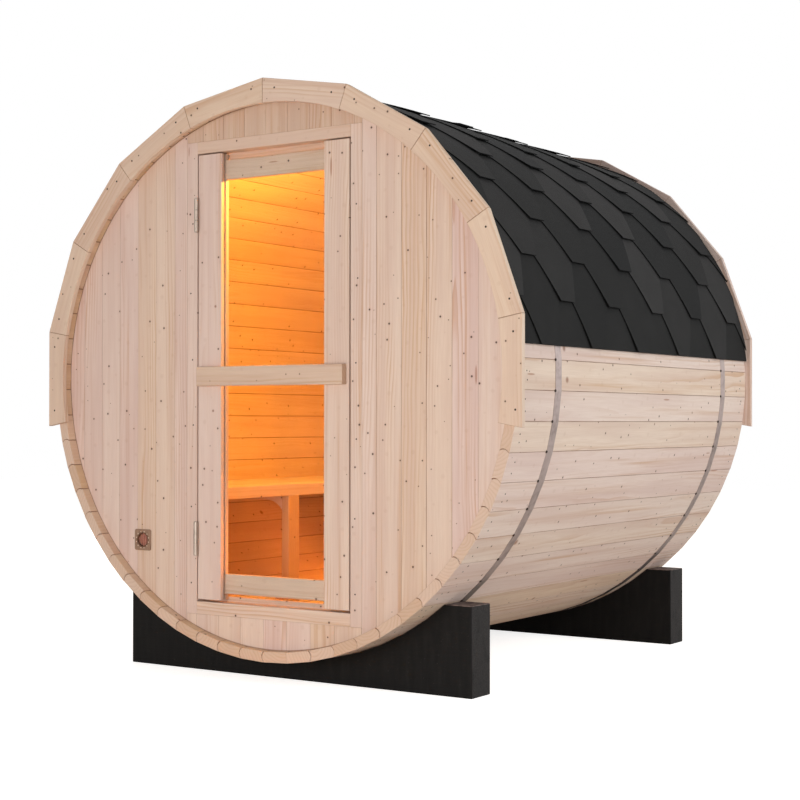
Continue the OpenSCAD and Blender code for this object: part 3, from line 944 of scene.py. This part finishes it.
def vent_bars(material):
    """Upright bars with a round front across the vent's hole, with gaps for the air between them."""
    middle, bm = vent_front(), bmesh.new()
    turns = [k * math.pi / BAR_SIDES for k in range(BAR_SIDES + 1)]
    outline = [(BAR_HALF * math.cos(turn), -BAR_HALF * math.sin(turn)) for turn in turns]
    outline += [(-BAR_HALF, BAR_HALF), (BAR_HALF, BAR_HALF)]
    for k in range(-BARS_A_SIDE, BARS_A_SIDE + 1):
        reach = math.sqrt(VENT_BORE ** 2 - (abs(k) * BAR_PITCH + BAR_HALF) ** 2) + BAR_SEAT
        ends = [[bm.verts.new(middle + Vector((k * BAR_PITCH + x, BAR_DEPTH + y, z))) for x, y in outline]
                for z in (-reach, reach)]
        for i in range(len(outline)):
            bm.faces.new([ends[0][i - 1], ends[0][i], ends[1][i], ends[1][i - 1]])
        for end in ends:
            bm.faces.new(end)
    bmesh.ops.recalc_face_normals(bm, faces=bm.faces)
    piece("vent_bars", bm, material)


def paint_node(node, material):
    """Gives a CAD node that stays its finish."""
    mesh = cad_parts[node].data
    mesh.materials.clear()
    mesh.materials.append(material)


def build_barrel(wood):
    for side in ("right", "left"):
        for group in ("bottom", "low", "high", "top"):
            staves(f"{side}_staves_{group}", wood)
        fascia(f"front_fascia_{side}", -Y, wood, TAN_BOARDS)
        fascia(f"back_fascia_{side}", Y, wood, PINK_BOARDS)


def build_walls(wood):
    wall_boards("front_wall_left", LEFT_SEAM, LEFT_BOARD, wood)
    wall_boards("front_wall_right", RIGHT_SEAM, RIGHT_BOARD, wood)
    # The boards over the door take the brown end of the range as painted shade under the overhanging fascia
    wall_boards("front_wall_over_door", OVER_SEAM, OVER_BOARD, wood, BROWN_BOARDS)
    wall_boards("front_wall_under_door", UNDER_SEAM, UNDER_BOARD, wood)
    wall_boards("back_wall", BACK_SEAM, BACK_BOARD, wood)
    for node in ("door_post_left", "door_post_right"):
        timber(node, Z, X, wood)
    for node in ("door_head", "door_sill"):
        timber(node, X, Z, wood, tints=WARM_BOARDS)


def build_door(wood, steel, glass):
    for node in ("hinge_stile", "latch_stile", "hinge_stile_inner", "latch_stile_inner"):
        timber(node, Z, X, wood, body="door")
    for node in ("door_top_rail", "door_bottom_rail"):
        timber(node, X, Z, wood, body="door", tints=WARM_BOARDS)
    timber("door_crossbar", X, Z, wood, BOARD_ARRIS, "door", tints=BROWN_BOARDS)
    hinge_steelwork("hinge_door_leaves", steel, "door")
    hinge_steelwork("hinge_frame_leaves", steel, "sauna")
    hinge_steelwork("hinge_pins", steel, "sauna")
    paint_node("door_glass", glass)


def build_bench(wood):
    timber("bench_front_rail", Y, Z, wood)
    timber("bench_slats", Y, X, wood)
    timber("bench_bearers", X, Z, wood)
    # The bench posts take the warm inside tint as painted lamp light
    timber("bench_posts", Z, Y, wood, tints=BROWN_BOARDS, painted_warm_light=1.0)


def build_roof(felt):
    shingles(1, "roof_right", felt)
    shingles(-1, "roof_left", felt)
    ridge_caps(felt)


def build_cradles(paint):
    for node in ("front_cradle", "back_cradle"):
        timber(node, X, Z, paint, PAINT_ARRIS, wear=JOINT_EDGE)


def build_vent():
    vent_plate(vent_finish("vent_plate_wood", srgb(128, 99, 80), srgb(160, 129, 107)))
    # The rim's dark browns are painted shade at the edge of the vent's opening
    vent_rim(vent_finish("vent_rim_painted_shade", srgb(92, 64, 46), srgb(118, 84, 64)))
    # The studs' pale colour is a painted highlight
    vent_studs(vent_finish("vent_stud", srgb(210, 184, 164), srgb(230, 206, 188)))
    vent_bars(vent_finish("vent_bar_wood", srgb(150, 92, 76), srgb(184, 124, 106)))


def build_fasteners(iron):
    fascia_nails("front_fascia_nails", ("front_fascia_right", "front_fascia_left"), -Y, iron)
    fascia_nails("back_fascia_nails", ("back_fascia_right", "back_fascia_left"), Y, iron)
    stave_nails(iron)
    hoop_pins(iron)
    post_nails(iron)


def build_hoops(steel):
    for node in ("front_hoop", "back_hoop"):
        paint_node(node, steel)


def make_floor():
    """A pale floor that the camera sees as white where no shadow falls."""
    corners = [(-FLOOR_HALF, -FLOOR_HALF, 0), (FLOOR_HALF, -FLOOR_HALF, 0),
               (FLOOR_HALF, FLOOR_HALF, 0), (-FLOOR_HALF, FLOOR_HALF, 0)]
    mesh = bpy.data.meshes.new("floor")
    mesh.from_pydata(corners, [], [(0, 1, 2, 3)])
    s = Shader("pale_floor", Base_Color=FLOOR_COLOUR, Roughness=0.9, Specular_IOR_Level=0.0,
               Emission_Color=WHITE)
    rays = s.add("LightPath", {})
    seen = s.math("MAXIMUM", rays.outputs["Is Camera Ray"], rays.outputs["Is Transmission Ray"])
    s.finish("Emission Strength", s.times(seen, FLOOR_GLOW))
    mesh.materials.append(s.material)
    floor = bpy.data.objects.new("floor", mesh)
    bpy.context.scene.collection.objects.link(floor)


def make_world():
    """White to the camera and in reflections, and a soft even light for everything else."""
    world = bpy.data.worlds.new("studio")
    world.use_nodes = True
    nodes, links = world.node_tree.nodes, world.node_tree.links
    rays = nodes.new("ShaderNodeLightPath")
    seen = rays.outputs["Is Camera Ray"]
    for ray in ("Is Glossy Ray", "Is Transmission Ray"):
        either = nodes.new("ShaderNodeMath")
        either.operation = "MAXIMUM"
        links.new(seen, either.inputs[0])
        links.new(rays.outputs[ray], either.inputs[1])
        seen = either.outputs[0]
    level = nodes.new("ShaderNodeMapRange")
    level.inputs["To Min"].default_value = WORLD_LIGHT
    level.inputs["To Max"].default_value = 1.0
    links.new(seen, level.inputs["Value"])
    background = nodes["Background"]
    background.inputs["Color"].default_value = WHITE
    links.new(level.outputs["Result"], background.inputs["Strength"])
    bpy.context.scene.world = world


def place_lamp(name, data, at):
    """Puts a lamp in the scene, out of the camera's sight."""
    lamp = bpy.data.objects.new(name, data)
    lamp.location = at
    lamp.visible_camera = False
    bpy.context.scene.collection.objects.link(lamp)
    return lamp


def softbox(name, at, aim, size, power, colour=(1, 1, 1)):
    """A large round lamp that looks at aim."""
    data = bpy.data.lights.new(name, "AREA")
    data.shape, data.size, data.energy, data.color = "DISK", size, power, colour
    lamp = place_lamp(name, data, at)
    lamp.rotation_euler = (Vector(aim) - Vector(at)).to_track_quat("-Z", "Y").to_euler()


def cabin_lamp(name, at, size, power, colour):
    """A warm lamp inside."""
    data = bpy.data.lights.new(name, "POINT")
    data.energy, data.color, data.shadow_soft_size = power, colour, size
    place_lamp(name, data, at)


def make_camera():
    """The photograph's own view, from the right of the door and a little below the barrel's axis."""
    data = bpy.data.cameras.new("camera")
    data.sensor_width, data.lens = CAMERA_SENSOR, CAMERA_LENS
    data.shift_x, data.shift_y = CAMERA_SHIFT
    camera = bpy.data.objects.new("camera", data)
    camera.location = CAMERA_AT
    camera.rotation_euler = [math.radians(a) for a in CAMERA_TURN]
    bpy.context.scene.collection.objects.link(camera)
    bpy.context.scene.camera = camera


def light_studio():
    make_floor()
    make_world()
    softbox("key", at=(6.5, 0.3, 2.4), aim=(0, 0, 1), size=4.0, power=222, colour=(0.9, 1.03, 1.1))
    softbox("front", at=(0.9, -4.9, 0.3), aim=(0, 0, 0.6), size=3.0, power=155)
    softbox("back", at=(-5.0, 4.5, 2.2), aim=(0, 0, 0.9), size=3.0, power=120)
    cabin_lamp("ceiling_lamp", at=(0.06, -0.44, 1.72), size=0.02, power=44.5, colour=(1.0, 0.575, 0.084))
    cabin_lamp("low_lamp", at=(-0.33, 0.1, 0.42), size=0.1, power=1.35, colour=EMBER)
    cabin_lamp("foot_lamp", at=(-0.1, -0.72, 0.42), size=0.1, power=1.4, colour=EMBER)
    bpy.context.scene.view_settings.view_transform = "Standard"


def main():
    wood = spruce("planed_spruce", pale=srgb(224, 202, 189), line=srgb(196, 152, 119))
    hinge_steel = galvanised("hinge_steel", srgb(174, 159, 147), scale=3, low_darkening=0.0)
    hoop_steel = galvanised("hoop_steel", srgb(184, 166, 161), scale=1, low_darkening=0.85)
    build_barrel(wood)
    build_walls(wood)
    build_door(wood, hinge_steel, clear_glass())
    build_bench(wood)
    build_roof(bitumen())
    build_cradles(black_paint())
    build_vent()
    build_fasteners(dark_iron())
    build_hoops(hoop_steel)
    make_camera()
    light_studio()


main()
